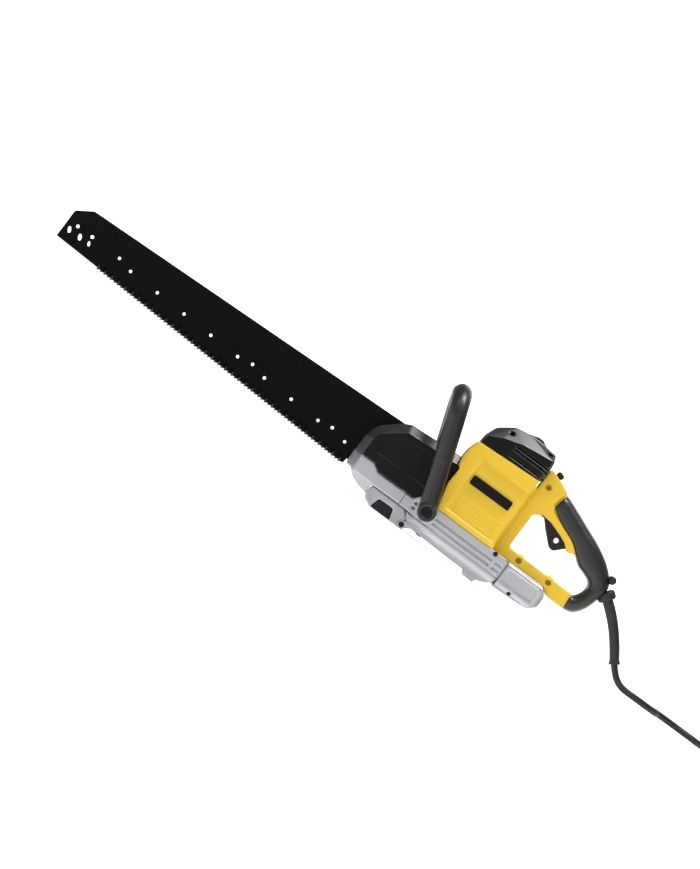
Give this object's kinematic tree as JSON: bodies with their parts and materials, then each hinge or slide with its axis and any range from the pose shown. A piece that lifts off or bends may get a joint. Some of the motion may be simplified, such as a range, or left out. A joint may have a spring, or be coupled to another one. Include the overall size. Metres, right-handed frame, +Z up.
{
  "type": "reciprocating saw",
  "caption": "Corded twin-blade reciprocating saw with a long guide bar, counter-moving toothed blades, upright motor, D-shaped rear handle and bail front handle.",
  "frame": {"origin": "on the surface the saw stands on, midway along the saw and on its centre plane", "axes": "+X towards the rear handle, -X along the blades to the tip, +Y to the right side of the saw, +Z up"},
  "size_m": [1.1197, 0.2119, 0.187],
  "materials": {
    "coated_steel": "black coated, satin",
    "carbide": "dark brazed carbide",
    "machined_steel": "machined",
    "bronze": "sintered bronze, satin",
    "cast_alloy": "die cast, bead blasted",
    "black_screws": "black oxide",
    "black_plastic": "fine moulded texture",
    "hood_plastic": "semi-gloss",
    "cap_plastic": "moulded, satin",
    "core_steel": "stacked laminations",
    "copper_winding": "enamelled copper wire",
    "carbon": "graphite",
    "yellow_plastic": "moulded, light texture",
    "grip_rubber": "moulded grip, satin",
    "handle_rubber": "moulded over steel tube, satin",
    "cord_rubber": "mains cord rubber"
  },
  "bodies": {
    "saw_frame": {"guide_bar": "coated_steel", "crank_bushes": "bronze", "front_slide_guide": "bronze", "rear_slide_guide": "bronze", "gear_case": "cast_alloy", "gear_case_cover": "cast_alloy", "rear_guide_cover": "cast_alloy", "front_nose": "cast_alloy", "case_screws": "black_screws", "latch_hinge_pin": "black_screws", "bar_clamp_bolts": "machined_steel", "hood_left": "hood_plastic", "hood_right": "hood_plastic", "motor_bearings": "machined_steel", "stator_core": "core_steel", "field_coils": "copper_winding", "brush_bracket": "black_plastic", "brush_holders": "bronze", "carbon_brushes": "carbon", "motor_housing": "yellow_plastic", "name_plates": "black_plastic", "motor_cap": "cap_plastic", "cap_screws": "black_screws", "handle_left": "yellow_plastic", "handle_right": "yellow_plastic", "handle_screws": "black_screws", "grip": "grip_rubber", "trigger_pin": "machined_steel", "switch_module": "black_plastic", "hex_key": "black_screws", "cord_clamp": "black_plastic", "front_handle": "handle_rubber", "front_handle_bolts": "black_screws", "strain_relief": "cord_rubber", "cord": "cord_rubber", "cord_coil": "cord_rubber", "plug": "cord_rubber", "plug_pins": "machined_steel"},
    "crank": {"crankshaft": "machined_steel", "drive_gear": "machined_steel", "crank_rollers": "machined_steel"},
    "armature": {"armature_core": "core_steel", "armature_shaft": "machined_steel", "commutator": "bronze", "fan": "black_plastic", "pinion": "machined_steel"},
    "left_slide": {"slide_left": "machined_steel", "carrier_left": "machined_steel", "drive_pin_left": "machined_steel"},
    "right_slide": {"slide_right": "machined_steel", "carrier_right": "machined_steel", "drive_pin_right": "machined_steel"},
    "left_blade": {"blade_left": "coated_steel", "carbide_tips_left": "carbide"},
    "right_blade": {"blade_right": "coated_steel", "carbide_tips_right": "carbide"},
    "trigger_lever": {"trigger": "black_plastic"},
    "lock_button": {"lock_off_button": "black_plastic"},
    "latch_door": {"latch_cover": "cast_alloy"},
    "latch_catch": {"latch_button": "black_plastic"}
  },
  "joints": [
    {"name": "crank_turn", "type": "hinge", "parent": "saw_frame", "child": "crank", "pos_m": [0.2335, 0, 0.03], "axis": [0, 0, 1], "range_deg": [-90, 90]},
    {"name": "armature_spin", "type": "hinge", "parent": "saw_frame", "child": "armature", "pos_m": [0.2015, 0, 0.1], "axis": [0, 0, 1], "range_deg": [-630, 630]},
    {"name": "left_slide_travel", "type": "slide", "parent": "saw_frame", "child": "left_slide", "axis": [1, 0, 0], "range_m": [-0.02, 0.02]},
    {"name": "right_slide_travel", "type": "slide", "parent": "saw_frame", "child": "right_slide", "axis": [1, 0, 0], "range_m": [-0.02, 0.02]},
    {"name": "left_blade_travel", "type": "slide", "parent": "saw_frame", "child": "left_blade", "axis": [0.9994, 0, -0.035], "range_m": [-0.02002, 0.02002]},
    {"name": "right_blade_travel", "type": "slide", "parent": "saw_frame", "child": "right_blade", "axis": [0.9994, 0, -0.035], "range_m": [-0.02002, 0.02002]},
    {"name": "trigger_pull", "type": "hinge", "parent": "saw_frame", "child": "trigger_lever", "pos_m": [0.2755, 0, 0.116], "axis": [0, -1, 0], "range_deg": [0, 6], "stiffness_Nm_per_rad": 0.5, "springref_deg": -17.19},
    {"name": "lock_button_press", "type": "slide", "parent": "saw_frame", "child": "lock_button", "axis": [-0.3907, 0, -0.9205], "range_m": [0, 0.003], "stiffness_N_per_m": 300, "springref_m": -0.002},
    {"name": "latch_door_swing", "type": "hinge", "parent": "saw_frame", "child": "latch_door", "pos_m": [0.1445, 0, 0.005], "axis": [0, -1, 0], "range_deg": [0, 75]},
    {"name": "latch_catch_press", "type": "slide", "parent": "latch_door", "child": "latch_catch", "axis": [0, 1, 0], "range_m": [0, 0.003], "stiffness_N_per_m": 300, "springref_m": -0.002}
  ],
  "couplings": [
    {"joint": "armature_spin", "follows": "crank_turn", "ratio": -7},
    {"joint": "left_slide_travel", "follows": "crank_turn", "m_per_rad": -0.012732},
    {"joint": "right_slide_travel", "follows": "crank_turn", "m_per_rad": 0.012732},
    {"joint": "left_blade_travel", "follows": "crank_turn", "m_per_rad": -0.01274},
    {"joint": "right_blade_travel", "follows": "crank_turn", "m_per_rad": 0.01274}
  ]
}
